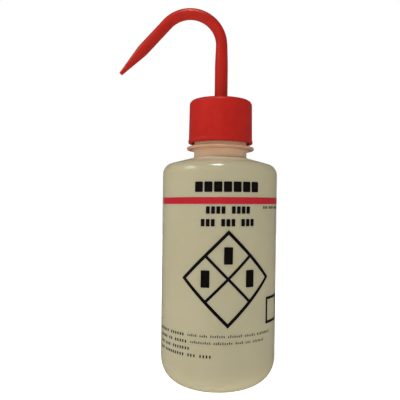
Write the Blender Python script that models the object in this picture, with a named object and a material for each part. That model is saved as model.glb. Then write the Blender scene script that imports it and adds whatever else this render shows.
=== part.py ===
"""Wash bottle: a squeezable bottle, a screw cap, a swivelling bent spout, its sealing washer and a dip tube.

Metres, +Z up. The origin is the centre of the flat base, on the bottle's axis. The spout points along -X.
"""

import math

import bmesh
import bpy
from mathutils import Matrix, Vector

MM = 0.001

# Clearances
FIT_GAP = 0.3 * MM  # between pieces that seat on each other or slide in each other
COLLAR_GAP = 2.35 * MM  # from the bottle's collar up to the cap's rim
UNION_SINK = 0.5 * MM  # how deep a thread ridge is rooted in the wall that carries it

# Bottle
BODY_RADIUS = 38.0 * MM
BODY_HEIGHT = 138.1 * MM  # from the base up to where the shoulder starts to round
BASE_CORNER_WIDTH = 23.5 * MM
BASE_CORNER_HEIGHT = 20.5 * MM
BASE_CORNER_EXPONENT = 2.4  # 2 is an ellipse, more is squarer
SHOULDER_CORNER = 7.4 * MM
SHOULDER_SLOPE = math.radians(15.4)
BODY_WALL = 1.1 * MM
BASE_WALL = 1.6 * MM
FINISH_RADIUS = 17.55 * MM  # the threaded part of the neck
FINISH_HEIGHT = 24.75 * MM  # from the collar's top up to the lip
NECK_STEP = 0.05 * MM  # how far the neck below the collar stands past the threaded part
NECK_LENGTH = 5.16 * MM  # from the shoulder up to the collar's underside
NECK_WALL = 1.9 * MM
COLLAR_WIDTH = 4.9 * MM  # past the threaded part
COLLAR_HEIGHT = 2.05 * MM
COLLAR_EDGE = 0.9 * MM
COLLAR_FILLET = 1.4 * MM
LIP_CHAMFER = 0.5 * MM

# Thread of the neck and the cap, right-handed
THREAD_HEIGHT = 1.2 * MM  # from the neck out to the neck thread's crest
THREAD_PITCH = 4.23 * MM
THREAD_FLANK = math.radians(30)
NECK_CREST_WIDTH = 1.0 * MM
NECK_THREAD_TURNS = 2.0
NECK_THREAD_TOP = 2.0 * MM  # from the lip down to the middle of the ridge's upper end
CAP_CREST_WIDTH = 0.8 * MM
CAP_THREAD_TURNS = 1.75
ENGAGED_TURNS = 1.5
RUN_OUT = math.radians(30)

# Screw cap
CAP_WALL = 1.8 * MM
CAP_TOP_WALL = 2.2 * MM
CAP_DRAFT = 0.35 * MM  # how much wider the skirt is at its foot
CAP_EDGE = 3.0 * MM
CAP_BEAD = 0.35 * MM
CAP_BEAD_HEIGHT = 1.6 * MM
CAP_RIM_ROUND = 0.6 * MM

# Sealing washer
WASHER_HEIGHT = 1.5 * MM
WASHER_OVERHANG = 0.4 * MM  # past the lip, inside the cap

# Spout
STEM_RADIUS = 4.35 * MM
TUBE_RADIUS = 3.82 * MM  # of the bend and the leg
TAPER_BELOW_BEND = 16.0 * MM  # where the stem starts to narrow
TAPER_LENGTH = 20.0 * MM
BEND_RADIUS = 21.1 * MM
BEND_ABOVE_CAP = 37.5 * MM  # from the cap's top up to the bend's centre
BEND_TURN = math.radians(137.75)
LEG_LENGTH = 24.7 * MM
NOZZLE_LENGTH = 21.3 * MM
TIP_RADIUS = 1.27 * MM
TIP_BORE_RADIUS = 0.6 * MM
FLANGE_HEIGHT = 1.6 * MM
GROOVE_DEPTH = 0.15 * MM  # of the groove that turns in the cap's hole
RETAINING_BEAD = 0.25 * MM  # how far the snap bead reaches past the cap's hole
RETAINING_BEAD_HEIGHT = 1.4 * MM
SOCKET_WALL = 1.3 * MM
SOCKET_LENGTH = 14.0 * MM

# Dip tube
DIP_RADIUS = 3.0 * MM
DIP_WALL = 1.0 * MM
DIP_STOP = 0.25 * MM  # step in the spout's bore that the tube's upper end meets
DIP_CUT = math.radians(40)  # slope of the cut at its foot
DIP_FOOT_GAP = 4.0 * MM  # from the bottle's floor up to the foot's lowest point

# Facets
BODY_SIDES = 56
TUBE_SIDES = 18
THREAD_STEPS = 36  # in one turn
CORNER_STEPS = 9
SMALL_STEPS = 3
BEND_STEPS = 16
TAPER_STEPS = 4
SMOOTH_BELOW = math.radians(32)

# Heights and radii that follow
neck_radius = FINISH_RADIUS + NECK_STEP
neck_bore = FINISH_RADIUS - NECK_WALL
collar_radius = FINISH_RADIUS + COLLAR_WIDTH
thread_crest = FINISH_RADIUS + THREAD_HEIGHT
shoulder_turn = math.radians(90) - SHOULDER_SLOPE
shoulder_width = BODY_RADIUS - SHOULDER_CORNER * (1 - math.cos(shoulder_turn)) - neck_radius
shoulder_rise = SHOULDER_CORNER * math.sin(shoulder_turn) + shoulder_width * math.tan(SHOULDER_SLOPE)
collar_bottom = BODY_HEIGHT + shoulder_rise + NECK_LENGTH
collar_top = collar_bottom + COLLAR_HEIGHT
lip_height = collar_top + FINISH_HEIGHT
neck_thread_start = lip_height - NECK_THREAD_TOP - NECK_THREAD_TURNS * THREAD_PITCH
washer_bottom = lip_height + FIT_GAP
flange_bottom = washer_bottom + WASHER_HEIGHT + FIT_GAP
cap_bottom = collar_top + COLLAR_GAP
cap_ceiling = flange_bottom + FLANGE_HEIGHT + FIT_GAP
cap_top = cap_ceiling + CAP_TOP_WALL
skirt_inside = thread_crest + FIT_GAP
groove_radius = STEM_RADIUS - GROOVE_DEPTH
cap_hole = groove_radius + FIT_GAP
spout_bore = DIP_RADIUS - DIP_STOP
socket_bore = DIP_RADIUS + FIT_GAP
socket_radius = socket_bore + SOCKET_WALL
dip_top = flange_bottom - FIT_GAP
dip_foot = BASE_WALL + DIP_FOOT_GAP
stem_length = cap_top + BEND_ABOVE_CAP - flange_bottom
bend_length = BEND_RADIUS * BEND_TURN


def plastic(name, colour, roughness, alpha=1.0):
    material = bpy.data.materials.new(name)
    material.use_nodes = True
    shader = material.node_tree.nodes["Principled BSDF"]
    shader.inputs["Base Color"].default_value = (*colour, 1.0)
    shader.inputs["Roughness"].default_value = roughness
    shader.inputs["Metallic"].default_value = 0.0
    shader.inputs["Alpha"].default_value = alpha
    return material


def arc(centre, radius, start, end, steps):
    """Points round a centre in the profile plane, from one angle to the other in degrees."""
    angles = [math.radians(start + (end - start) * i / steps) for i in range(steps + 1)]
    return [(centre[0] + radius * math.cos(a), centre[1] + radius * math.sin(a)) for a in angles]


def base_corner(flat_radius, side_radius, floor, height, steps):
    """The rounded corner from the side wall down to the floor, a superellipse."""
    points = []
    for i in range(steps + 1):
        a = math.radians(90) * i / steps
        across = abs(math.cos(a)) ** (2 / BASE_CORNER_EXPONENT)
        down = abs(math.sin(a)) ** (2 / BASE_CORNER_EXPONENT)
        points.append((flat_radius + (side_radius - flat_radius) * across, height - (height - floor) * down))
    return points


def finish_object(name, mesh, height):
    mesh.shade_smooth()
    mesh.set_sharp_from_angle(angle=SMOOTH_BELOW)
    thing = bpy.data.objects.new(name, mesh)
    thing.location = (0, 0, height)
    bpy.context.collection.objects.link(thing)
    return thing


def turned(name, outline, closed, height, material):
    """Turns an outline of (radius, height) points round Z; it runs down its outer side."""
    mesh = bpy.data.meshes.new(name)
    edges = [(i, i + 1) for i in range(len(outline) - 1)]
    if closed:
        edges.append((len(outline) - 1, 0))
    mesh.from_pydata([(r, 0, z - height) for r, z in outline], edges, [])
    thing = finish_object(name, mesh, height)
    mesh.materials.append(material)
    screw = thing.modifiers.new("Turn", "SCREW")
    screw.steps = BODY_SIDES
    screw.render_steps = BODY_SIDES
    screw.use_merge_vertices = True
    screw.merge_threshold = 0.00001
    return thing


def lofted(name, loops, closed, height):
    """Skins a row of vertex loops; an open row gets an end face at each end."""
    shape = bmesh.new()
    rings = [[shape.verts.new(p - Vector((0, 0, height))) for p in loop] for loop in loops]
    sides = len(rings[0])
    pairs = list(zip(rings, rings[1:]))
    if closed:
        pairs.append((rings[-1], rings[0]))
    for low, high in pairs:
        for i in range(sides):
            j = (i + 1) % sides
            shape.faces.new((low[i], low[j], high[j], high[i]))
    if not closed:
        shape.faces.new(reversed(rings[0]))
        shape.faces.new(rings[-1])
    bmesh.ops.recalc_face_normals(shape, faces=shape.faces)
    mesh = bpy.data.meshes.new(name)
    shape.to_mesh(mesh)
    shape.free()
    return finish_object(name, mesh, height)


def thread_ridge(name, radii, crest_width, start_height, start_turn, turns):
    """A helical ridge that stands from the root radius to the crest radius and fades out at both ends."""
    root, crest = radii
    outward = 1 if crest > root else -1
    rise = abs(crest - root)
    steps = round(turns * THREAD_STEPS)
    loops = []
    for i in range(steps + 1):
        angle = 2 * math.pi * turns * i / steps
        from_end = min(angle, 2 * math.pi * turns - angle)
        fade = min(1.0, from_end / RUN_OUT)
        stand = (rise + FIT_GAP) * fade - FIT_GAP
        tip_half = crest_width / 2
        root_half = tip_half + (stand + UNION_SINK) * math.tan(THREAD_FLANK)
        middle = start_height + THREAD_PITCH * angle / (2 * math.pi)
        section = [
            (root - outward * UNION_SINK, -root_half),
            (root + outward * stand, -tip_half),
            (root + outward * stand, tip_half),
            (root - outward * UNION_SINK, root_half),
        ]
        turn = 2 * math.pi * start_turn + angle
        loops.append([Vector((r * math.cos(turn), r * math.sin(turn), middle + z)) for r, z in section])
    return lofted(name, loops, False, 0)


def join_ridge(thing, ridge, material):
    """Unites a thread ridge with the piece that carries it."""
    ridge.data.materials.append(material)
    ridge.hide_render = True
    ridge.display_type = "WIRE"
    union = thing.modifiers.new("Thread", "BOOLEAN")
    union.operation = "UNION"
    union.solver = "EXACT"
    union.object = ridge


def make_bottle(material):
    flat = BODY_RADIUS - BASE_CORNER_WIDTH
    corner = (BODY_RADIUS - SHOULDER_CORNER, BODY_HEIGHT)
    turn = math.degrees(shoulder_turn)
    inner_corner = arc(corner, SHOULDER_CORNER - BODY_WALL, 0, turn, SMALL_STEPS + 1)
    last = inner_corner[-1]
    shoulder_meets_bore = last[1] + (last[0] - neck_bore) * math.tan(SHOULDER_SLOPE)
    outer_corner = arc(corner, SHOULDER_CORNER, turn, 0, SMALL_STEPS + 2)
    fillet_centre = (neck_radius + COLLAR_FILLET, collar_bottom - COLLAR_FILLET)
    edge = collar_radius - COLLAR_EDGE
    outline = [
        (0, BASE_WALL),
        *reversed(base_corner(flat, BODY_RADIUS - BODY_WALL, BASE_WALL, BASE_CORNER_HEIGHT, CORNER_STEPS)),
        *inner_corner,
        (neck_bore, shoulder_meets_bore),
        (neck_bore, lip_height - LIP_CHAMFER),
        (neck_bore + LIP_CHAMFER, lip_height),
        (FINISH_RADIUS - LIP_CHAMFER, lip_height),
        (FINISH_RADIUS, lip_height - LIP_CHAMFER),
        (FINISH_RADIUS, collar_top),
        *arc((edge, collar_top - COLLAR_EDGE), COLLAR_EDGE, 90, 0, SMALL_STEPS),
        *arc((edge, collar_bottom + COLLAR_EDGE), COLLAR_EDGE, 0, -90, SMALL_STEPS),
        *arc(fillet_centre, COLLAR_FILLET, 90, 180, SMALL_STEPS),
        (neck_radius, collar_bottom - NECK_LENGTH),
        *outer_corner,
        *base_corner(flat, BODY_RADIUS, 0, BASE_CORNER_HEIGHT, CORNER_STEPS),
        (0, 0),
    ]
    bottle = turned("bottle", outline, False, 0, material)
    radii = (FINISH_RADIUS, thread_crest)
    ridge = thread_ridge("neck_ridge", radii, NECK_CREST_WIDTH, neck_thread_start, 0, NECK_THREAD_TURNS)
    join_ridge(bottle, ridge, material)
    return bottle


def make_cap(material):
    top_radius = skirt_inside + CAP_WALL
    foot_radius = top_radius + CAP_DRAFT
    bead_radius = foot_radius + CAP_BEAD
    outline = [
        (cap_hole, cap_ceiling),
        (cap_hole, cap_top),
        *arc((top_radius - CAP_EDGE, cap_top - CAP_EDGE), CAP_EDGE, 90, 0, SMALL_STEPS + 2),
        (foot_radius, cap_bottom + 2 * CAP_BEAD_HEIGHT),
        (bead_radius, cap_bottom + CAP_BEAD_HEIGHT),
        *arc((bead_radius - CAP_RIM_ROUND, cap_bottom + CAP_RIM_ROUND), CAP_RIM_ROUND, 0, -90, SMALL_STEPS),
        (skirt_inside, cap_bottom),
        (skirt_inside, cap_ceiling),
    ]
    cap = turned("screw_cap", outline, True, cap_bottom, material)
    crest = FINISH_RADIUS + FIT_GAP
    neck_half = NECK_CREST_WIDTH / 2 + (thread_crest - crest) * math.tan(THREAD_FLANK)
    below = neck_half + CAP_CREST_WIDTH / 2 + FIT_GAP / math.cos(THREAD_FLANK)
    first_turn = NECK_THREAD_TURNS - ENGAGED_TURNS
    start = neck_thread_start + first_turn * THREAD_PITCH - below
    radii = (skirt_inside, crest)
    ridge = thread_ridge("cap_ridge", radii, CAP_CREST_WIDTH, start, first_turn, CAP_THREAD_TURNS)
    join_ridge(cap, ridge, material)
    return cap


def make_washer(material):
    inside = socket_radius + FIT_GAP
    outside = FINISH_RADIUS + WASHER_OVERHANG
    top = washer_bottom + WASHER_HEIGHT
    outline = [(inside, top), (outside, top), (outside, washer_bottom), (inside, washer_bottom)]
    return turned("sealing_washer", outline, True, washer_bottom, material)


def spout_frame(distance):
    """The point of the spout's centreline and its direction, this far above the flange's underside."""
    centre = Vector((-BEND_RADIUS, 0, flange_bottom + stem_length))
    if distance <= stem_length:
        return Vector((0, 0, flange_bottom + distance)), Vector((0, 0, 1))
    turn = min(distance - stem_length, bend_length) / BEND_RADIUS
    point = centre + BEND_RADIUS * Vector((math.cos(turn), 0, math.sin(turn)))
    direction = Vector((-math.sin(turn), 0, math.cos(turn)))
    return point + direction * max(0.0, distance - stem_length - bend_length), direction


def tube_radius(distance):
    """The spout's outer radius above the cap: the stem narrows smoothly into the bend."""
    share = min(1.0, max(0.0, (distance - stem_length + TAPER_BELOW_BEND) / TAPER_LENGTH))
    return STEM_RADIUS + (TUBE_RADIUS - STEM_RADIUS) * share * share * (3 - 2 * share)


def spout_loop(distance, radius):
    point, direction = spout_frame(distance)
    across = Vector((0, 1, 0))
    other = direction.cross(across)
    angles = [2 * math.pi * i / TUBE_SIDES for i in range(TUBE_SIDES)]
    return [point + radius * (math.cos(a) * other + math.sin(a) * across) for a in angles]


def make_spout(material):
    nozzle = stem_length + bend_length + LEG_LENGTH
    tip = nozzle + NOZZLE_LENGTH
    above_cap = cap_top + FIT_GAP - flange_bottom
    taper_steps = [stem_length - TAPER_BELOW_BEND * (1 - i / TAPER_STEPS) for i in range(TAPER_STEPS)]
    bend_steps = [stem_length + bend_length * i / BEND_STEPS for i in range(BEND_STEPS + 1)]
    outside = [
        (-SOCKET_LENGTH, socket_radius),
        (0, socket_radius),
        (0, FINISH_RADIUS),
        (FLANGE_HEIGHT, FINISH_RADIUS),
        (FLANGE_HEIGHT, groove_radius),
        (above_cap, groove_radius),
        (above_cap, cap_hole + RETAINING_BEAD / 2),
        (above_cap + RETAINING_BEAD_HEIGHT / 2, cap_hole + RETAINING_BEAD),
        (above_cap + RETAINING_BEAD_HEIGHT, STEM_RADIUS),
        *[(at, tube_radius(at)) for at in taper_steps + bend_steps],
        (nozzle, TUBE_RADIUS),
        (tip - TIP_RADIUS / 2, TIP_RADIUS),
        (tip, (TIP_RADIUS + TIP_BORE_RADIUS) / 2),
    ]
    inside = [
        (tip, TIP_BORE_RADIUS),
        (tip - 2 * TIP_RADIUS, TIP_BORE_RADIUS),
        (nozzle, spout_bore),
        *[(at, spout_bore) for at in reversed(bend_steps)],
        (0, spout_bore),
        (0, socket_bore),
        (-SOCKET_LENGTH, socket_bore),
    ]
    loops = [spout_loop(distance, radius) for distance, radius in outside + inside]
    spout = lofted("spout", loops, True, flange_bottom)
    spout.data.materials.append(material)
    return spout


def make_dip_tube(material):
    """A straight tube in the spout's socket, cut at a slant at its foot."""
    spread = 2 * DIP_RADIUS * math.tan(DIP_CUT)
    tube = bmesh.new()
    for radius in (DIP_RADIUS, DIP_RADIUS - DIP_WALL):
        bmesh.ops.create_circle(tube, cap_ends=False, segments=TUBE_SIDES, radius=radius)
    bmesh.ops.bridge_loops(tube, edges=tube.edges[:])
    foot = bmesh.ops.extrude_face_region(tube, geom=tube.faces[:])
    length = dip_top - dip_foot
    foot_verts = [v for v in foot["geom"] if isinstance(v, bmesh.types.BMVert)]
    bmesh.ops.translate(tube, vec=(0, 0, -length), verts=foot_verts)
    everything = tube.verts[:] + tube.edges[:] + tube.faces[:]
    middle = Vector((0, 0, -length + spread / 2))
    facing = Matrix.Rotation(-DIP_CUT, 3, "Y") @ Vector((0, 0, -1))
    cut = bmesh.ops.bisect_plane(tube, geom=everything, plane_co=middle, plane_no=facing, clear_outer=True)
    rims = [e for e in cut["geom_cut"] if isinstance(e, bmesh.types.BMEdge)]
    bmesh.ops.bridge_loops(tube, edges=rims)
    bmesh.ops.recalc_face_normals(tube, faces=tube.faces)
    mesh = bpy.data.meshes.new("dip_tube")
    tube.to_mesh(mesh)
    tube.free()
    mesh.materials.append(material)
    return finish_object("dip_tube", mesh, dip_top)


def main():
    for thing in list(bpy.data.objects):
        bpy.data.objects.remove(thing, do_unlink=True)

    natural = plastic("natural_polyethylene", (0.41, 0.37, 0.24), 0.38, 0.9)
    red = plastic("red_polypropylene", (0.44, 0.021, 0.017), 0.32)
    clear = plastic("tube_polyethylene", (0.72, 0.72, 0.68), 0.35, 0.8)
    seal = plastic("seal_foam", (0.80, 0.79, 0.75), 0.7)

    make_bottle(natural)
    closure_axis = bpy.data.objects.new("closure_axis", None)
    closure_axis.empty_display_size = cap_top - cap_bottom
    closure_axis.location = (0, 0, lip_height)
    bpy.context.collection.objects.link(closure_axis)
    moving = [make_cap(red), make_washer(seal), make_spout(red), make_dip_tube(clear)]
    for thing in moving:
        thing.parent = closure_axis
        thing.matrix_parent_inverse = Matrix.Translation((0, 0, -lip_height))


main()
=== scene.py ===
"""Wash bottle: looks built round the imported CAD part. Metres, +Z up, base on the floor, spout along -X."""

import math

import bmesh
import bpy
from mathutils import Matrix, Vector


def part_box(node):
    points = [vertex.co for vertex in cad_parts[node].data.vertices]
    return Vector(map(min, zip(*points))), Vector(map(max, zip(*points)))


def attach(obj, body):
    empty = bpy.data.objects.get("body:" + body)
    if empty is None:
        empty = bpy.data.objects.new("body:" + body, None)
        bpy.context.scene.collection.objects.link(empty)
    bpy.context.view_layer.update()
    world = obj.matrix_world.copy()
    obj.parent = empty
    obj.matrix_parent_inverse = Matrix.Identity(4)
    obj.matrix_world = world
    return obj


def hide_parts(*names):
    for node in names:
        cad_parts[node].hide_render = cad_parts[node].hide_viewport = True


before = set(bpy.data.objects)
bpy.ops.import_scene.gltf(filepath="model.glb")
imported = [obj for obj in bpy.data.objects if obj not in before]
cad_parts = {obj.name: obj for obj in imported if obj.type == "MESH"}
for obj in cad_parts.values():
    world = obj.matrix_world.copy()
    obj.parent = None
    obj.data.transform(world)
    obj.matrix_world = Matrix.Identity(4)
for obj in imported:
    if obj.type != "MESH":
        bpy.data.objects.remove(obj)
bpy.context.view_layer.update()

MM = 0.001
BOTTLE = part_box("bottle")
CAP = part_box("screw_cap")
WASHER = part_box("sealing_washer")
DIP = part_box("dip_tube")
GAP = 0.3 * MM  # running clearance between two pieces
SHARP = 40.0  # degrees between faces from which an edge stays sharp

# Bottle
WALL_RADIUS = BOTTLE[1].x
LIP = BOTTLE[1].z
WALL = 1.1 * MM
FLOOR_WALL = 1.6 * MM
SHOULDER_START = 138.1 * MM
SHOULDER_CORNER = 7.4 * MM
SHOULDER_SLOPE = math.radians(15.4)
SLOPE_STEP = 4 * MM  # from the shoulder's corner to the next point of its straight slope
NECK_RADIUS = 17.6 * MM
NECK_BORE = 15.65 * MM
NECK_ROOT_FILLET = 1.3 * MM
BORE_ROOT_FILLET = 1.0 * MM
FINISH_RADIUS = 17.55 * MM  # of the threaded part, under its thread
LIP_ROUND = 0.6 * MM
COLLAR_RADIUS = 22.45 * MM
COLLAR_TOP = CAP[0].z - 2.35 * MM
COLLAR_BOTTOM = COLLAR_TOP - 2.05 * MM
COLLAR_ROUND = 0.95 * MM
COLLAR_FILLETS = (1.4 * MM, 0.5 * MM)  # below and above the ring
BASE_CORNER = (23.5 * MM, 20.5 * MM)  # width and height
BASE_EXPONENT = 2.4
BASE_RECESS = 1.1 * MM
RECESS_STEPS = ((0, 1.0), (0.55, 0.92), (0.8, 0.45))  # shares of the flat's radius and of the depth
SEGMENTS = 224

# Thread
THREAD_RADIUS = 18.75 * MM
THREAD_PITCH = 4.23 * MM
THREAD_FLANK = math.radians(30)
THREAD_FADE = math.radians(30)
THREAD_SINK = 0.3 * MM  # how far a ridge goes into its wall
THREAD_STEPS = 96  # in one turn
NECK_THREAD_CREST = 1.0 * MM
NECK_THREAD_TURNS = 2.0
NECK_THREAD_START = LIP - 2.0 * MM - NECK_THREAD_TURNS * THREAD_PITCH
CAP_THREAD_CREST = 0.8 * MM
CAP_THREAD_TURNS = 1.75

# Screw cap
CAP_BEAD_RADIUS = CAP[1].x
CAP_FOOT_RADIUS = CAP_BEAD_RADIUS - 0.35 * MM
CAP_TOP_RADIUS = CAP_FOOT_RADIUS - 0.35 * MM
CAP_BEAD_HEIGHT = 1.5 * MM
CAP_EDGE = 3.0 * MM
SKIRT_INSIDE = THREAD_RADIUS + GAP
CEILING = CAP[1].z - 2.2 * MM
HOLE_RADIUS = 4.5 * MM

# Sealing washer
WASHER_ROUND = 0.2 * MM
WASHER_SEGMENTS = 128

# Spout
FLANGE_BOTTOM = WASHER[1].z + GAP
FLANGE_HEIGHT = 1.6 * MM
FLANGE_ROUND = 0.3 * MM
SOCKET_RADIUS = 4.6 * MM
SOCKET_BORE = 3.3 * MM
SOCKET_LENGTH = 14.0 * MM
GROOVE_RADIUS = 4.2 * MM  # of the groove that turns in the cap's hole
RETAINER = (4.62 * MM, 4.75 * MM)  # radii of the bead on top of the cap, at its foot and its widest
RETAINER_HEIGHTS = (0.7 * MM, 1.4 * MM)  # of its widest part and its top
STEM_RADIUS = 4.35 * MM
TUBE_RADIUS = 3.82 * MM  # of the bend and the leg
SPOUT_BORE = 2.75 * MM
BEND_RADIUS = 21.1 * MM
BEND_TURN = math.radians(137.75)
BEND_HEIGHT = CAP[1].z + 37.5 * MM
TAPER = (16 * MM, 4 * MM)  # the stem narrows from below the bend's start to past it
LEG = 24.7 * MM
NOZZLE = 21.3 * MM
NOZZLE_BLEND = 2.0 * MM  # each way from where the leg turns into the nozzle
TIP_RADIUS = 1.27 * MM
TIP_ROUND = 0.4 * MM
TIP_LAND = 0.8 * MM  # straight end of the nozzle
TIP_BORE = 0.6 * MM
TIP_BORE_LENGTH = 2.5 * MM
TUBE_SIDES = 56
TUBE_STEPS = 90
BORE_STEPS = 40
BLEND_STEPS = 8

# Dip tube
DIP_RADIUS = 3.0 * MM
DIP_BORE = 2.0 * MM
DIP_CUT = math.radians(40)
DIP_SIDES = 40

# Print: angles in degrees from the front (-Y) towards +X, heights above the base
INK = 0.07 * MM
INK_SINK = 0.05 * MM
INK_STEP = 1.0 * MM  # longest stretch of a line between two stations
INK_SHARP = 35.0  # degrees
BLOCK_STEP = 1.2 * MM
BLOCK_MERGE = 0.01 * MM
BLOCK_CORNER_STEPS = 6
WORD_ROUND = 0.14  # share of a block's width
ASKEW = 0.42 * MM  # how far the upper print rises towards its right side
ASKEW_FROM, ASKEW_FULL = 62.0 * MM, 100.0 * MM
BAND_ANGLES, BAND_HEIGHTS = (-73, 278), (118.7 * MM, 122.8 * MM)
BAND_ROUND = 0.15 * MM
TITLE_ANGLES, TITLE_MIDDLE, TITLE_HEIGHT = (-23.1, 38.0), 129.05 * MM, 6.3 * MM
TITLE_BLOCKS, TITLE_GAP = 7, 0.9 * MM
LINE_BLOCK = (2.3 * MM, 4.4 * MM)  # width and height
LINE_ROWS = (  # start angle, middle height, blocks in each word, advance
    (-12.3, 115.1 * MM, (4, 4), 3.13 * MM),
    (-17.0, 107.5 * MM, (3, 3, 3), 3.1 * MM),
)
DIAMOND_ANGLE, DIAMOND_HEIGHT, DIAMOND_HALF = 8.7, 73.7 * MM, 28.0 * MM
DIAMOND_PEN, DIAMOND_CROSS_PEN = 2.0 * MM, 1.7 * MM
DIAMOND_OVERLAP = 0.02 * MM
DIAMOND_BLOCK, DIAMOND_BLOCK_ROUND = (2.7 * MM, 5.2 * MM), 0.5 * MM  # half its width and height
FRAME_ANGLE, FRAME_BOTTOM, FRAME_SIDE, FRAME_PEN = 51.2, 44.4 * MM, 16.7 * MM, 1.7 * MM
CAPITAL = (2.0 * MM, 0.85 * MM, 1.7 * MM)  # advance, width and height
PLAIN = (1.33 * MM, 0.5 * MM, 1.15 * MM, (1.0, 1.0, 1.45, 1.0, 1.3))  # with its tops
MARGIN_ANGLE = -71
SMALL_ROWS = (  # middle height, words in capitals, plain words after them
    (39.25 * MM, (6, 6), (5, 4, 7, 7, 6, 9)),
    (35.2 * MM, (5, 2, 5), (10, 9, 4, 3, 7)),
    (31.1 * MM, (3, 3, 7), ()),
    (27.2 * MM, (3, 9, 3, 4), ()),
)
SIDE_ROW = (45.2, 116.6 * MM, (3, 4, 4))  # start angle, middle height, blocks in each word
SIDE_BLOCK = (1.5 * MM, 0.8 * MM, 1.6 * MM)

# Looks
NOISE_ROUGHNESS = 0.55
BODY_TONES = ((0.395, 0.352, 0.232), (0.375, 0.334, 0.217))
RED_TINT = (1.0, 0.55, 0.36, 1.0)
# Painted light on the wall near the cap, in mm: tone, heights of its fade in, radii of its fade out if it
# has one. The tones paint an orange glow as if lit red through the cap, and paint lighter tones over the
# shade under the cap and the ring.
NECK_PAINTED_LIGHT_ZONES = (
    ((0.60, 0.525, 0.385), (140.5, 144.0), (18.5, 29.5)),  # the neck's root, a painted glow lighter than the body
    ((0.40, 0.235, 0.155), (149.0, 153.0), None),  # the ring, painted orange as if lit red through the cap
    ((0.70, 0.465, 0.31), (146.5, 151.0), (17.7, 20.5)),  # the neck below the ring, painted lighter over its shade
    ((0.84, 0.45, 0.28), (154.5, 158.0), (17.7, 20.5)),  # the neck above the ring, under the cap, a painted orange glow lighter than its shade
    ((0.52, 0.45, 0.32), (158.5, 162.5), None),  # what the raised cap uncovers, painted lighter than the body
)

# Stage
FLOOR_HALF = 12.0
FLOOR_TONES = ((0.86, 0.86, 0.855), (0.84, 0.84, 0.835))
FLOOR_GLOW = 0.88
WORLD_LIGHT = 0.16
LAMPS_AIM = Vector((0, 0, 0.13))
WHITE, WARM, SOFT = (1, 1, 1), (1.0, 0.985, 0.95), (1.0, 0.99, 0.96)
LAMPS = (  # name, azimuth, elevation, distance, width, height, power, colour, whether it makes glints
    ("overhead_lamp", -12, 71, 1.0, 0.15, 0.07, 5.2, WHITE, True),
    ("left_lamp", -69, 38, 1.1, 0.4, 0.4, 3.4, WARM, True),
    ("front_fill", -12, 6, 1.6, 1.4, 1.0, 9.5, WARM, False),
    ("right_fill", 72, 8, 1.4, 0.8, 0.8, 1.6, SOFT, False),
    ("back_fill", 180, 12, 1.6, 1.4, 1.0, 8.0, SOFT, False),
)
CAMERA_PLACE = (0, -0.336, 0.1181)
CAMERA_ROLL = math.radians(-0.75)
CAMERA_SHIFT = (-0.049, 0.0125)
LENS, SENSOR = 45.0, 36.0  # millimetres


# ---------------------------------------------------------------- materials


def shader_of(name, roughness, specular):
    material = bpy.data.materials.new(name)
    material.use_nodes = True
    tree = material.node_tree
    shader = tree.nodes["Principled BSDF"]
    shader.inputs["Roughness"].default_value = roughness
    shader.inputs["Specular IOR Level"].default_value = specular
    shader.inputs["IOR"].default_value = 1.5
    coordinates = tree.nodes.new("ShaderNodeTexCoord")
    return material, tree, shader, coordinates.outputs["Object"]


def noise(tree, vector, scale, detail=3.0):
    node = tree.nodes.new("ShaderNodeTexNoise")
    node.inputs["Scale"].default_value = scale
    node.inputs["Detail"].default_value = detail
    node.inputs["Roughness"].default_value = NOISE_ROUGHNESS
    tree.links.new(vector, node.inputs["Vector"])
    return node.outputs["Fac"]


def span(tree, value, low, high, to_low, to_high):
    """Maps low..high smoothly to to_low..to_high, and holds the ends beyond."""
    node = tree.nodes.new("ShaderNodeMapRange")
    node.interpolation_type = "SMOOTHSTEP"
    for name, number in (("From Min", low), ("From Max", high), ("To Min", to_low), ("To Max", to_high)):
        node.inputs[name].default_value = number
    tree.links.new(value, node.inputs["Value"])
    return node.outputs["Result"]


def clouds(tree, vector, scale, to_low=0.0, to_high=1.0, detail=3.0, low=0.3, high=0.7):
    return span(tree, noise(tree, vector, scale, detail), low, high, to_low, to_high)


def blend_colours(tree, share, first, second):
    """Each of the two is a colour, or a socket that gives one."""
    node = tree.nodes.new("ShaderNodeMix")
    node.data_type = "RGBA"
    tree.links.new(share, node.inputs["Factor"])
    for socket, colour in ((node.inputs["A"], first), (node.inputs["B"], second)):
        if isinstance(colour, bpy.types.NodeSocket):
            tree.links.new(colour, socket)
        else:
            socket.default_value = (*colour, 1.0)
    return node.outputs["Result"]


def times(tree, first, second):
    node = tree.nodes.new("ShaderNodeMath")
    node.operation = "MULTIPLY"
    tree.links.new(first, node.inputs[0])
    tree.links.new(second, node.inputs[1])
    return node.outputs[0]


def height_of(tree, place):
    node = tree.nodes.new("ShaderNodeSeparateXYZ")
    tree.links.new(place, node.inputs[0])
    return node.outputs["Z"]


def radius_of(tree, place):
    flat = tree.nodes.new("ShaderNodeVectorMath")
    flat.operation = "MULTIPLY"
    flat.inputs[1].default_value = (1.0, 1.0, 0.0)
    tree.links.new(place, flat.inputs[0])
    length = tree.nodes.new("ShaderNodeVectorMath")
    length.operation = "LENGTH"
    tree.links.new(flat.outputs[0], length.inputs[0])
    return length.outputs["Value"]


def bump(tree, shader, height, strength, distance):
    node = tree.nodes.new("ShaderNodeBump")
    node.inputs["Strength"].default_value = strength
    node.inputs["Distance"].default_value = distance
    tree.links.new(height, node.inputs["Height"])
    tree.links.new(node.outputs["Normal"], shader.inputs["Normal"])


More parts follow.
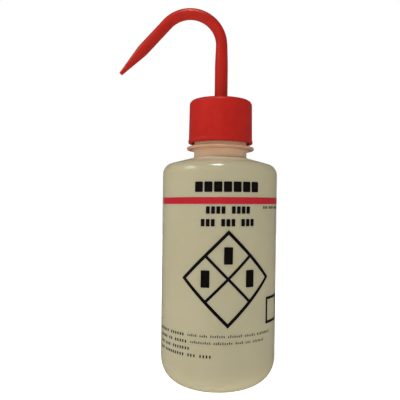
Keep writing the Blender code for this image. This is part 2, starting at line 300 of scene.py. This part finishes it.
def natural_polyethylene():
    """Hazy wall, with painted light near the cap by height and radius: an orange glow as if lit red through
    the cap, and lighter tones painted over the shade there.
    """
    material, tree, shader, place = shader_of("natural_polyethylene_look", 0.2, 0.36)
    height, radius = height_of(tree, place), radius_of(tree, place)
    colour = blend_colours(tree, clouds(tree, place, 22.0), *BODY_TONES)
    # Painted light near the cap, zone by zone: an orange glow as if lit red through the cap, and lighter
    # tones over the shade.
    for tone, heights, radii in NECK_PAINTED_LIGHT_ZONES:
        share = span(tree, height, heights[0] * MM, heights[1] * MM, 0.0, 1.0)
        if radii:
            share = times(tree, share, span(tree, radius, radii[0] * MM, radii[1] * MM, 1.0, 0.0))
        colour = blend_colours(tree, share, colour, tone)
    tree.links.new(colour, shader.inputs["Base Color"])
    tree.links.new(clouds(tree, place, 60.0, 0.17, 0.23), shader.inputs["Roughness"])
    shader.inputs["Subsurface Weight"].default_value = 0.8
    shader.inputs["Subsurface Radius"].default_value = (1.0, 0.85, 0.55)
    shader.inputs["Subsurface Scale"].default_value = 0.006
    bump(tree, shader, noise(tree, place, 420.0, 2.0), 0.08, 0.0003)
    return material


def red_plastic(name, light, dark, roughness, specular, bumps):
    material, tree, shader, place = shader_of(name, roughness, specular)
    shader.inputs["Specular Tint"].default_value = RED_TINT
    patches = clouds(tree, place, 130.0, detail=4.0, low=0.32, high=0.68)
    tree.links.new(blend_colours(tree, patches, light, dark), shader.inputs["Base Color"])
    rough = clouds(tree, place, 210.0, roughness - 0.05, roughness + 0.05)
    tree.links.new(rough, shader.inputs["Roughness"])
    bump(tree, shader, noise(tree, place, 900.0), bumps, 0.0002)
    return material


def mottled(name, light, dark, roughness, scale, specular=0.2):
    material, tree, shader, place = shader_of(name, roughness, specular)
    tree.links.new(blend_colours(tree, clouds(tree, place, scale), light, dark), shader.inputs["Base Color"])
    rough = clouds(tree, place, scale * 1.7, roughness - 0.06, roughness + 0.06)
    tree.links.new(rough, shader.inputs["Roughness"])
    bump(tree, shader, noise(tree, place, scale * 3.0), 0.1, 0.0001)
    return material


LOOK = {
    "natural_polyethylene": natural_polyethylene(),
    "red_polypropylene": red_plastic(
        "red_polypropylene_look", (0.36, 0.012, 0.009), (0.33, 0.010, 0.008), 0.44, 0.2, 0.14
    ),
    "red_polyethylene": red_plastic(
        "red_polyethylene_look", (0.33, 0.011, 0.007), (0.30, 0.009, 0.006), 0.38, 0.3, 0.05
    ),
    "seal_foam": mottled("seal_foam_look", (0.80, 0.79, 0.75), (0.74, 0.73, 0.69), 0.7, 900.0),
    "tube_polyethylene": mottled(
        "tube_polyethylene_look", (0.72, 0.72, 0.68), (0.68, 0.68, 0.64), 0.35, 300.0
    ),
    "print_black": mottled(
        "print_black_look", (0.003, 0.002, 0.002), (0.006, 0.004, 0.004), 0.5, 800.0, 0.03
    ),
    "print_red": mottled("print_red_look", (0.365, 0.012, 0.020), (0.335, 0.010, 0.017), 0.45, 700.0, 0.1),
}


# ---------------------------------------------------------------- meshes


def corner_path(corners, closed=False):
    """Points along a line of corners (radius, height, rounding, steps), with each corner rounded."""
    points = []
    count = len(corners)
    for i, (r, z, rounding, steps) in enumerate(corners):
        here = Vector((r, z))
        if rounding == 0 or (not closed and i in (0, count - 1)):
            points.append(here)
            continue
        before = Vector(corners[i - 1][:2]) - here
        after = Vector(corners[(i + 1) % count][:2]) - here
        half = before.angle(after) / 2
        reach = rounding / math.tan(half)
        start, end = here + before.normalized() * reach, here + after.normalized() * reach
        middle = here + (before.normalized() + after.normalized()).normalized() * (rounding / math.sin(half))
        first, last = start - middle, end - middle
        sweep = first.angle_signed(last)
        for k in range(steps + 1):
            turn = -sweep * k / steps
            c, s = math.cos(turn), math.sin(turn)
            points.append(middle + Vector((first.x * c - first.y * s, first.x * s + first.y * c)))
    return [(p.x, p.y) for p in points]


def add_object(name, shape, body, slot, nodes=(), sharp=SHARP):
    """Makes a bmesh a piece on a body, with a material slot's look, in place of the CAD nodes named."""
    bmesh.ops.recalc_face_normals(shape, faces=shape.faces)
    mesh = bpy.data.meshes.new(name)
    shape.to_mesh(mesh)
    shape.free()
    mesh.shade_smooth()
    mesh.set_sharp_from_angle(angle=math.radians(sharp))
    mesh.materials.append(LOOK[slot])
    thing = bpy.data.objects.new(name, mesh)
    bpy.context.scene.collection.objects.link(thing)
    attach(thing, body)
    if nodes:
        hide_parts(*nodes)


def lathe(shape, outline, closed, segments=SEGMENTS):
    """Turns (radius, height) points round Z into a shape; points on the axis become one vertex."""
    turns = [2 * math.pi * i / segments for i in range(segments)]
    rings = []
    for r, z in outline:
        if r < 1e-7:
            rings.append([shape.verts.new((0, 0, z))])
        else:
            rings.append([shape.verts.new((r * math.cos(a), r * math.sin(a), z)) for a in turns])
    pairs = list(zip(rings, rings[1:]))
    if closed:
        pairs.append((rings[-1], rings[0]))
    for low, high in pairs:
        for i in range(segments):
            j = (i + 1) % segments
            if len(low) == 1:
                shape.faces.new((low[0], high[j], high[i]))
            elif len(high) == 1:
                shape.faces.new((low[i], low[j], high[0]))
            else:
                shape.faces.new((low[i], low[j], high[j], high[i]))


def loft(shape, loops, closed):
    """Joins loops of points, and caps the two ends unless the last loop joins the first."""
    rings = [[shape.verts.new(p) for p in loop] for loop in loops]
    sides = len(rings[0])
    pairs = list(zip(rings, rings[1:]))
    if closed:
        pairs.append((rings[-1], rings[0]))
    else:
        shape.faces.new(reversed(rings[0]))
        shape.faces.new(rings[-1])
    for low, high in pairs:
        for i in range(sides):
            j = (i + 1) % sides
            shape.faces.new((low[i], low[j], high[j], high[i]))


def arc(centre, radius, start, end, steps):
    angles = [math.radians(start + (end - start) * i / steps) for i in range(steps + 1)]
    return [(centre[0] + radius * math.cos(a), centre[1] + radius * math.sin(a)) for a in angles]


def superellipse(flat, side, floor, height, steps):
    """The base's corner, from the side wall down to the flat."""
    points = []
    for i in range(steps + 1):
        a = math.radians(90) * i / steps
        across = math.cos(a) ** (2 / BASE_EXPONENT) if i < steps else 0.0
        down = math.sin(a) ** (2 / BASE_EXPONENT)
        points.append((flat + (side - flat) * across, height - (height - floor) * down))
    return points


def helix(shape, root, crest, crest_width, start, first_turn, turns):
    """A thread ridge from the root radius to the crest radius, fading out at both ends."""
    outward = 1 if crest > root else -1
    rise = abs(crest - root)
    steps = round(turns * THREAD_STEPS)
    loops = []
    for i in range(steps + 1):
        angle = 2 * math.pi * turns * i / steps
        fade = min(1.0, min(angle, 2 * math.pi * turns - angle) / THREAD_FADE)
        stand = (rise + THREAD_SINK / 2) * fade * fade * (3 - 2 * fade) - THREAD_SINK / 2
        tip = crest_width / 2
        foot = tip + (stand + THREAD_SINK) * math.tan(THREAD_FLANK)
        middle = start + THREAD_PITCH * angle / (2 * math.pi)
        inner, outer = root - outward * THREAD_SINK, root + outward * stand
        turn = 2 * math.pi * first_turn + angle
        section = ((inner, -foot), (outer, -tip), (outer, tip), (inner, foot))
        loops.append([(r * math.cos(turn), r * math.sin(turn), middle + z) for r, z in section])
    loft(shape, loops, False)


def make_bottle():
    flat = WALL_RADIUS - BASE_CORNER[0]
    turn = math.degrees(math.radians(90) - SHOULDER_SLOPE)
    slope = math.tan(SHOULDER_SLOPE)
    corner = (WALL_RADIUS - SHOULDER_CORNER, SHOULDER_START)
    outer_arc = arc(corner, SHOULDER_CORNER, 0, turn, 14)
    inner_arc = arc(corner, SHOULDER_CORNER - WALL, turn, 0, 10)
    (outer_r, outer_z), (inner_r, inner_z) = outer_arc[-1], inner_arc[0]
    neck = [
        (outer_r - SLOPE_STEP, outer_z + SLOPE_STEP * slope, 0, 0),
        (NECK_RADIUS, outer_z + (outer_r - NECK_RADIUS) * slope, NECK_ROOT_FILLET, 6),
        (NECK_RADIUS, COLLAR_BOTTOM, COLLAR_FILLETS[0], 7),
        (COLLAR_RADIUS, COLLAR_BOTTOM, COLLAR_ROUND, 7),
        (COLLAR_RADIUS, COLLAR_TOP, COLLAR_ROUND, 7),
        (FINISH_RADIUS, COLLAR_TOP, COLLAR_FILLETS[1], 5),
        (FINISH_RADIUS, LIP, LIP_ROUND, 6),
        (NECK_BORE, LIP, LIP_ROUND, 6),
        (NECK_BORE, inner_z + (inner_r - NECK_BORE) * slope, BORE_ROOT_FILLET, 5),
        (inner_r - SLOPE_STEP, inner_z + SLOPE_STEP * slope, 0, 0),
    ]
    outline = [
        *[(flat * across, BASE_RECESS * up) for across, up in RECESS_STEPS],
        *reversed(superellipse(flat, WALL_RADIUS, 0, BASE_CORNER[1], 26)),
        *outer_arc,
        *corner_path(neck),
        *inner_arc,
        *superellipse(flat, WALL_RADIUS - WALL, FLOOR_WALL, BASE_CORNER[1], 22),
        (flat * 0.7, BASE_RECESS + FLOOR_WALL * 0.9),
        (0, BASE_RECESS + FLOOR_WALL),
    ]
    shape = bmesh.new()
    lathe(shape, outline, False)
    helix(shape, FINISH_RADIUS, THREAD_RADIUS, NECK_THREAD_CREST, NECK_THREAD_START, 0, NECK_THREAD_TURNS)
    add_object("bottle_shell", shape, "bottle", "natural_polyethylene", ["bottle"])


def make_cap():
    foot, top = CAP[0].z, CAP[1].z
    corners = [
        (HOLE_RADIUS, CEILING, 0.25 * MM, 4),
        (HOLE_RADIUS, top, 0.35 * MM, 5),
        (CAP_TOP_RADIUS, top, CAP_EDGE, 14),
        (CAP_FOOT_RADIUS, foot + 2 * CAP_BEAD_HEIGHT, 2.0 * MM, 4),
        (CAP_BEAD_RADIUS, foot + CAP_BEAD_HEIGHT, 0.9 * MM, 5),
        (CAP_BEAD_RADIUS - 0.02 * MM, foot, 0.55 * MM, 7),
        (SKIRT_INSIDE, foot, 0.4 * MM, 5),
        (SKIRT_INSIDE, CEILING, 0.5 * MM, 5),
    ]
    shape = bmesh.new()
    lathe(shape, corner_path(corners, True), True)
    crest = FINISH_RADIUS + GAP
    neck_half = NECK_THREAD_CREST / 2 + (THREAD_RADIUS - crest) * math.tan(THREAD_FLANK)
    below = neck_half + CAP_THREAD_CREST / 2 + GAP / math.cos(THREAD_FLANK)
    start = NECK_THREAD_START + 0.5 * THREAD_PITCH - below
    helix(shape, SKIRT_INSIDE, crest, CAP_THREAD_CREST, start, 0.5, CAP_THREAD_TURNS)
    add_object("cap_shell", shape, "cap", "red_polypropylene", ["screw_cap"])


def make_washer():
    inside, outside = SOCKET_RADIUS + GAP, WASHER[1].x
    low, high = WASHER[0].z, WASHER[1].z
    section = ((inside, high), (outside, high), (outside, low), (inside, low))
    corners = [(r, z, WASHER_ROUND, 4) for r, z in section]
    shape = bmesh.new()
    lathe(shape, corner_path(corners, True), True, WASHER_SEGMENTS)
    add_object("washer_ring", shape, "seal", "seal_foam", ["sealing_washer"])


def spout_place(distance):
    """The centreline's point and direction at a distance along it from the flange's underside."""
    stem = BEND_HEIGHT - FLANGE_BOTTOM
    bend = BEND_RADIUS * BEND_TURN
    if distance <= stem:
        return Vector((0, 0, FLANGE_BOTTOM + distance)), Vector((0, 0, 1))
    turn = min(distance - stem, bend) / BEND_RADIUS
    centre = Vector((-BEND_RADIUS, 0, BEND_HEIGHT))
    point = centre + BEND_RADIUS * Vector((math.cos(turn), 0, math.sin(turn)))
    direction = Vector((-math.sin(turn), 0, math.cos(turn)))
    return point + direction * max(0.0, distance - stem - bend), direction


def ring_at(distance, radius):
    point, direction = spout_place(distance)
    across = Vector((0, 1, 0))
    other = direction.cross(across)
    turns = [2 * math.pi * i / TUBE_SIDES for i in range(TUBE_SIDES)]
    return [point + radius * (math.cos(a) * other + math.sin(a) * across) for a in turns]


def make_spout():
    stem = BEND_HEIGHT - FLANGE_BOTTOM
    bend = BEND_RADIUS * BEND_TURN
    nozzle = stem + bend + LEG
    tip = nozzle + NOZZLE
    above = CAP[1].z + GAP - FLANGE_BOTTOM
    straight = above + 4.0 * MM
    lower = [
        (SOCKET_BORE, -SOCKET_LENGTH, 0, 0),
        (SOCKET_RADIUS, -SOCKET_LENGTH, FLANGE_ROUND, 3),
        (SOCKET_RADIUS, 0, FLANGE_ROUND, 3),
        (FINISH_RADIUS, 0, FLANGE_ROUND, 3),
        (FINISH_RADIUS, FLANGE_HEIGHT, FLANGE_ROUND, 3),
        (GROOVE_RADIUS, FLANGE_HEIGHT, FLANGE_ROUND, 3),
        (GROOVE_RADIUS, above, 0.05 * MM, 2),
        (RETAINER[0], above, 0.1 * MM, 2),
        (RETAINER[1], above + RETAINER_HEIGHTS[0], 0.4 * MM, 4),
        (STEM_RADIUS, above + RETAINER_HEIGHTS[1], 0.4 * MM, 4),
        (STEM_RADIUS, straight, 0, 0),
    ]
    profile = [(z, r) for r, z in corner_path(lower)[1:]]
    begin = straight + 1.0 * MM
    for i in range(TUBE_STEPS + 1):
        at = begin + (stem + bend - begin) * i / TUBE_STEPS
        share = min(1.0, max(0.0, (at - stem + TAPER[0]) / (TAPER[0] + TAPER[1])))
        profile.append((at, STEM_RADIUS + (TUBE_RADIUS - STEM_RADIUS) * share * share * (3 - 2 * share)))
    profile.append((nozzle - 1.5 * NOZZLE_BLEND, TUBE_RADIUS))
    slope = (TUBE_RADIUS - TIP_RADIUS) / (NOZZLE - TIP_LAND)
    for i in range(BLEND_STEPS + 1):
        past = 2 * NOZZLE_BLEND * i / BLEND_STEPS
        profile.append((nozzle - NOZZLE_BLEND + past, TUBE_RADIUS - past**2 / (4 * NOZZLE_BLEND) * slope))
    profile.append((tip - TIP_LAND, TIP_RADIUS))
    profile += [(z, r) for r, z in arc((TIP_RADIUS - TIP_ROUND, tip - TIP_ROUND), TIP_ROUND, 0, 90, 5)]
    inside = [(tip, TIP_BORE), (tip - TIP_BORE_LENGTH, TIP_BORE), (nozzle, SPOUT_BORE)]
    inside += [(stem + bend * (1 - i / BORE_STEPS), SPOUT_BORE) for i in range(BORE_STEPS + 1)]
    inside += [(0, SPOUT_BORE), (0, SOCKET_BORE), (-SOCKET_LENGTH, SOCKET_BORE)]
    shape = bmesh.new()
    loft(shape, [ring_at(at, r) for at, r in profile + inside], True)
    add_object("spout_tube", shape, "spout", "red_polyethylene", ["spout"])


def make_dip_tube():
    """A straight tube with a slanting foot, in the spout's socket."""
    low, high = DIP[0].z, DIP[1].z
    slope = math.tan(DIP_CUT)
    middle = low + DIP_RADIUS * slope
    turns = [2 * math.pi * i / DIP_SIDES for i in range(DIP_SIDES)]

    def ring(r, height, slant):
        return [(r * math.cos(a), r * math.sin(a), height - slant * r * math.cos(a)) for a in turns]

    outer = [ring(DIP_RADIUS, middle, slope), ring(DIP_RADIUS, high, 0)]
    inner = [ring(DIP_BORE, high, 0), ring(DIP_BORE, middle, slope)]
    shape = bmesh.new()
    loft(shape, outer + inner, True)
    add_object("dip_tube_long", shape, "spout", "tube_polyethylene", ["dip_tube"])


# ---------------------------------------------------------------- print


def at_angle(degrees):
    return math.radians(degrees) * WALL_RADIUS


def on_wall(along, height, lift):
    """A point of the label: along is the arc length from the front, positive towards +X."""
    turn = along / WALL_RADIUS
    radius = WALL_RADIUS + lift
    share = min(1.0, max(0.0, (height - ASKEW_FROM) / (ASKEW_FULL - ASKEW_FROM)))
    return (radius * math.sin(turn), -radius * math.cos(turn), height + ASKEW * share * math.sin(turn))


def strip(shape, stations, closed=False):
    """A thin slab of ink over stations ((along, height) of one edge, (along, height) of the other edge)."""
    loops = []
    for a, b in stations:
        loops.append([on_wall(*a, INK), on_wall(*b, INK), on_wall(*b, -INK_SINK), on_wall(*a, -INK_SINK)])
    loft(shape, loops, closed)


def block(shape, left, right, low, high, rounding):
    """A rounded rectangle."""
    rounding = min(rounding, (right - left) / 2, (high - low) / 2)
    turns = [math.radians(90 * i / BLOCK_CORNER_STEPS) for i in range(BLOCK_CORNER_STEPS + 1)]
    ends = [(rounding * (1 - math.cos(a)), rounding * (1 - math.sin(a))) for a in turns]
    straight = right - left - 2 * rounding
    pieces = max(1, math.ceil(straight / BLOCK_STEP))
    stations = [(left + step, inset) for step, inset in ends]
    stations += [(left + rounding + straight * i / pieces, 0.0) for i in range(1, pieces)]
    stations += [(right - step, inset) for step, inset in reversed(ends)]
    kept = [stations[0]]
    for at, inset in stations[1:]:
        if at - kept[-1][0] > BLOCK_MERGE:
            kept.append((at, inset))
    strip(shape, [((at, high - inset), (at, low + inset)) for at, inset in kept])


def stroke(shape, start, end, width):
    """A straight line on the label."""
    line = Vector(end) - Vector(start)
    side = Vector((-line.y, line.x)).normalized() * (width / 2)
    pieces = max(1, math.ceil(line.length / INK_STEP))
    stations = []
    for i in range(pieces + 1):
        p = Vector(start) + line * i / pieces
        stations.append((tuple(p + side), tuple(p - side)))
    strip(shape, stations)


def outline(shape, corners, width):
    """A closed line with mitred corners. The corners run anticlockwise."""
    count = len(corners)
    inner, outer = [], []
    for i in range(count):
        here = Vector(corners[i])
        back = (here - Vector(corners[i - 1])).normalized()
        on = (Vector(corners[(i + 1) % count]) - here).normalized()
        normal = (Vector((back.y, -back.x)) + Vector((on.y, -on.x))).normalized()
        reach = (width / 2) / normal.dot(Vector((on.y, -on.x)))
        outer.append(here + normal * reach)
        inner.append(here - normal * reach)
    stations = []
    for i in range(count):
        j = (i + 1) % count
        pieces = max(1, math.ceil((outer[j] - outer[i]).length / INK_STEP))
        for k in range(pieces):
            t = k / pieces
            stations.append((tuple(outer[i].lerp(outer[j], t)), tuple(inner[i].lerp(inner[j], t))))
    strip(shape, stations, True)


def words(shape, start, middle, lengths, advance, width, height, tops=(1.0,)):
    """A row of small blocks that stand for words, their tops in a repeating pattern; returns its end."""
    at, number, foot = start, 0, middle - height / 2
    for count in lengths:
        for _ in range(count):
            top = foot + height * tops[number % len(tops)]
            block(shape, at, at + width, foot, top, WORD_ROUND * width)
            at += advance
            number += 1
        at += advance
    return at


def add_print(name, shape, slot="print_black"):
    add_object(name, shape, "bottle", slot, sharp=INK_SHARP)


def print_band():
    shape = bmesh.new()
    left, right = [at_angle(angle) for angle in BAND_ANGLES]
    block(shape, left, right, *BAND_HEIGHTS, BAND_ROUND)
    add_print("print_band", shape, "print_red")


def print_title():
    shape = bmesh.new()
    start, end = [at_angle(angle) for angle in TITLE_ANGLES]
    advance = (end - start + TITLE_GAP) / TITLE_BLOCKS
    words(shape, start, TITLE_MIDDLE, [TITLE_BLOCKS], advance, advance - TITLE_GAP, TITLE_HEIGHT)
    add_print("print_title", shape)


def print_lines():
    shape = bmesh.new()
    for angle, middle, lengths, advance in LINE_ROWS:
        words(shape, at_angle(angle), middle, lengths, advance, *LINE_BLOCK)
    add_print("print_lines", shape)


def print_diamond():
    """A quartered diamond with a block in each quarter but the lowest."""
    shape = bmesh.new()
    cx, cz, half = at_angle(DIAMOND_ANGLE), DIAMOND_HEIGHT, DIAMOND_HALF
    outline(shape, [(cx - half, cz), (cx, cz - half), (cx + half, cz), (cx, cz + half)], DIAMOND_PEN)
    reach = half / 2 - DIAMOND_PEN / (2 * math.sqrt(2)) + DIAMOND_OVERLAP
    gap = DIAMOND_CROSS_PEN / (2 * math.sqrt(2))
    stroke(shape, (cx - reach, cz + reach), (cx + reach, cz - reach), DIAMOND_CROSS_PEN)
    stroke(shape, (cx - reach, cz - reach), (cx - gap, cz - gap), DIAMOND_CROSS_PEN)
    stroke(shape, (cx + gap, cz + gap), (cx + reach, cz + reach), DIAMOND_CROSS_PEN)
    wide, tall = DIAMOND_BLOCK
    for across, up in ((0, half / 2), (-half / 2, 0), (half / 2, 0)):
        x, z = cx + across, cz + up
        block(shape, x - wide, x + wide, z - tall, z + tall, DIAMOND_BLOCK_ROUND)
    add_print("print_diamond", shape)


def print_frame():
    shape = bmesh.new()
    inset = FRAME_PEN / 2
    left, low = at_angle(FRAME_ANGLE) + inset, FRAME_BOTTOM + inset
    right, high = left + FRAME_SIDE - FRAME_PEN, low + FRAME_SIDE - FRAME_PEN
    outline(shape, [(left, high), (left, low), (right, low), (right, high)], FRAME_PEN)
    add_print("print_frame", shape)


def print_small():
    shape = bmesh.new()
    for middle, capitals, plain in SMALL_ROWS:
        at = words(shape, at_angle(MARGIN_ANGLE), middle, capitals, *CAPITAL)
        words(shape, at, middle, plain, *PLAIN)
    angle, middle, lengths = SIDE_ROW
    words(shape, at_angle(angle), middle, lengths, *SIDE_BLOCK)
    add_print("print_small", shape)


# ---------------------------------------------------------------- stage


def make_floor():
    material, tree, shader, place = shader_of("floor_look", 0.6, 0.3)
    colour = blend_colours(tree, clouds(tree, place, 3.0), *FLOOR_TONES)
    tree.links.new(colour, shader.inputs["Base Color"])
    shader.inputs["Emission Color"].default_value = (1.0, 1.0, 0.995, 1.0)
    shader.inputs["Emission Strength"].default_value = FLOOR_GLOW
    mesh = bpy.data.meshes.new("floor")
    corners = [(FLOOR_HALF * x, FLOOR_HALF * y, 0) for x, y in ((-1, -1), (1, -1), (1, 1), (-1, 1))]
    mesh.from_pydata(corners, [], [(0, 1, 2, 3)])
    mesh.materials.append(material)
    floor = bpy.data.objects.new("floor", mesh)
    bpy.context.scene.collection.objects.link(floor)
    floor.visible_glossy = False


def make_world():
    """A weak even light, which the camera sees as white."""
    world = bpy.data.worlds.new("studio")
    bpy.context.scene.world = world
    world.use_nodes = True
    tree = world.node_tree
    light = tree.nodes["Background"]
    light.inputs["Color"].default_value = (1.0, 0.99, 0.97, 1.0)
    light.inputs["Strength"].default_value = WORLD_LIGHT
    seen = tree.nodes.new("ShaderNodeBackground")
    seen.inputs["Color"].default_value = (1.0, 1.0, 1.0, 1.0)
    seen.inputs["Strength"].default_value = 1.0
    path = tree.nodes.new("ShaderNodeLightPath")
    pick = tree.nodes.new("ShaderNodeMixShader")
    tree.links.new(path.outputs["Is Camera Ray"], pick.inputs["Fac"])
    tree.links.new(light.outputs[0], pick.inputs[1])
    tree.links.new(seen.outputs[0], pick.inputs[2])
    tree.links.new(pick.outputs[0], tree.nodes["World Output"].inputs["Surface"])


def make_lamp(name, azimuth, elevation, distance, width, height, power, colour, glints):
    """An area lamp that faces the bottle. Azimuth 0 is in front (-Y), positive towards +X."""
    a, e = math.radians(azimuth), math.radians(elevation)
    away = Vector((math.sin(a) * math.cos(e), -math.cos(a) * math.cos(e), math.sin(e)))
    data = bpy.data.lights.new(name, "AREA")
    data.shape = "RECTANGLE"
    data.size, data.size_y = width, height
    data.energy = power
    data.color = colour
    thing = bpy.data.objects.new(name, data)
    thing.location = LAMPS_AIM + away * distance
    thing.rotation_mode = "QUATERNION"
    thing.rotation_quaternion = (-away).to_track_quat("-Z", "Y")
    thing.visible_camera = False
    thing.visible_glossy = glints
    bpy.context.scene.collection.objects.link(thing)


def make_camera():
    data = bpy.data.cameras.new("camera")
    data.sensor_width = SENSOR
    data.lens = LENS
    data.shift_x, data.shift_y = CAMERA_SHIFT
    data.clip_start, data.clip_end = 0.01, 50.0
    camera = bpy.data.objects.new("camera", data)
    camera.location = CAMERA_PLACE
    camera.rotation_euler = (math.radians(90), CAMERA_ROLL, 0)
    bpy.context.scene.collection.objects.link(camera)
    bpy.context.scene.camera = camera


make_bottle()
make_cap()
make_washer()
make_spout()
make_dip_tube()
print_band()
print_title()
print_lines()
print_diamond()
print_frame()
print_small()
make_floor()
make_world()
for row in LAMPS:
    make_lamp(*row)
make_camera()
bpy.context.scene.view_settings.view_transform = "Standard"
